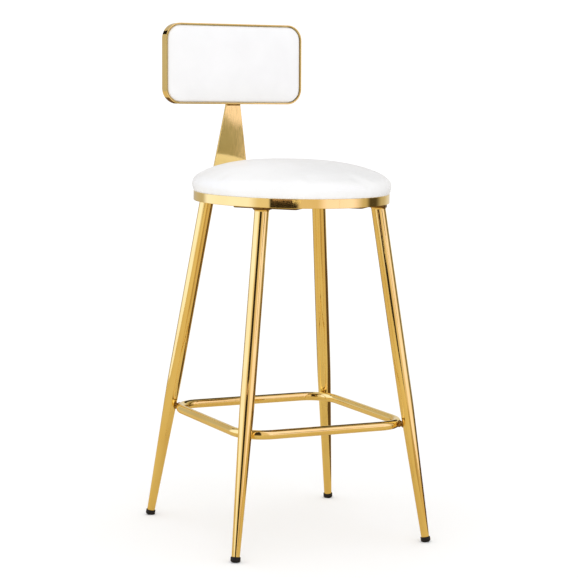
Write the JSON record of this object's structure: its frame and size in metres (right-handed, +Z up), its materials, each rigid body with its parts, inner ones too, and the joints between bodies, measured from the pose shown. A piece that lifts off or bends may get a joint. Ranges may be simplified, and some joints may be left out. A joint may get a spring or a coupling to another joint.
{
  "type": "bar stool with footrest",
  "caption": "Bar stool with a round padded seat in a metal band, a small padded backrest on a bent flat bar, splayed tapered tube legs and a square footrest.",
  "frame": {"origin": "point on the floor under the middle of the round seat", "axes": "+Z up, -Y towards the front where the sitter faces, the backrest is on the +Y side, +X to the right seen from the front"},
  "size_m": [0.3856, 0.4597, 0.8978],
  "materials": {
    "gold_plated_steel": "mirror-polished gold plating on steel",
    "black_glide": "moulded, matt black",
    "plywood": "unfinished birch plywood",
    "hardboard": "smooth hardboard",
    "foam": "polyurethane foam",
    "white_vinyl": "white upholstery vinyl with a fine grain, satin",
    "dust_cloth": "black non-woven cloth",
    "zinc_steel": "bright zinc plating",
    "clip_plastic": "natural nylon"
  },
  "bodies": {
    "root": {"leg_front_left": "gold_plated_steel", "leg_plate_front_left": "gold_plated_steel", "foot_front_left": "black_glide", "footrest_stub_front_left": "gold_plated_steel", "leg_front_right": "gold_plated_steel", "leg_plate_front_right": "gold_plated_steel", "foot_front_right": "black_glide", "footrest_stub_front_right": "gold_plated_steel", "leg_rear_left": "gold_plated_steel", "leg_plate_rear_left": "gold_plated_steel", "foot_rear_left": "black_glide", "footrest_stub_rear_left": "gold_plated_steel", "leg_rear_right": "gold_plated_steel", "leg_plate_rear_right": "gold_plated_steel", "foot_rear_right": "black_glide", "footrest_stub_rear_right": "gold_plated_steel", "footrest_ring": "gold_plated_steel", "seat_band": "gold_plated_steel", "back_bracket": "gold_plated_steel", "back_hoop": "gold_plated_steel", "hoop_lugs": "gold_plated_steel", "seat_board": "plywood", "back_board": "plywood", "rear_panel": "hardboard", "seat_foam": "foam", "back_foam": "foam", "seat_cover": "white_vinyl", "back_cover": "white_vinyl", "rear_panel_cover": "white_vinyl", "dust_cloth": "dust_cloth", "hem_staples": "zinc_steel", "dust_cloth_staples": "zinc_steel", "back_cover_staples": "zinc_steel", "leg_plate_screws": "zinc_steel", "bracket_screws": "zinc_steel", "leg_plate_tee_nuts": "zinc_steel", "bracket_tee_nuts": "zinc_steel", "hoop_lug_screws": "zinc_steel", "rear_panel_clips": "clip_plastic"}
  },
  "joints": []
}
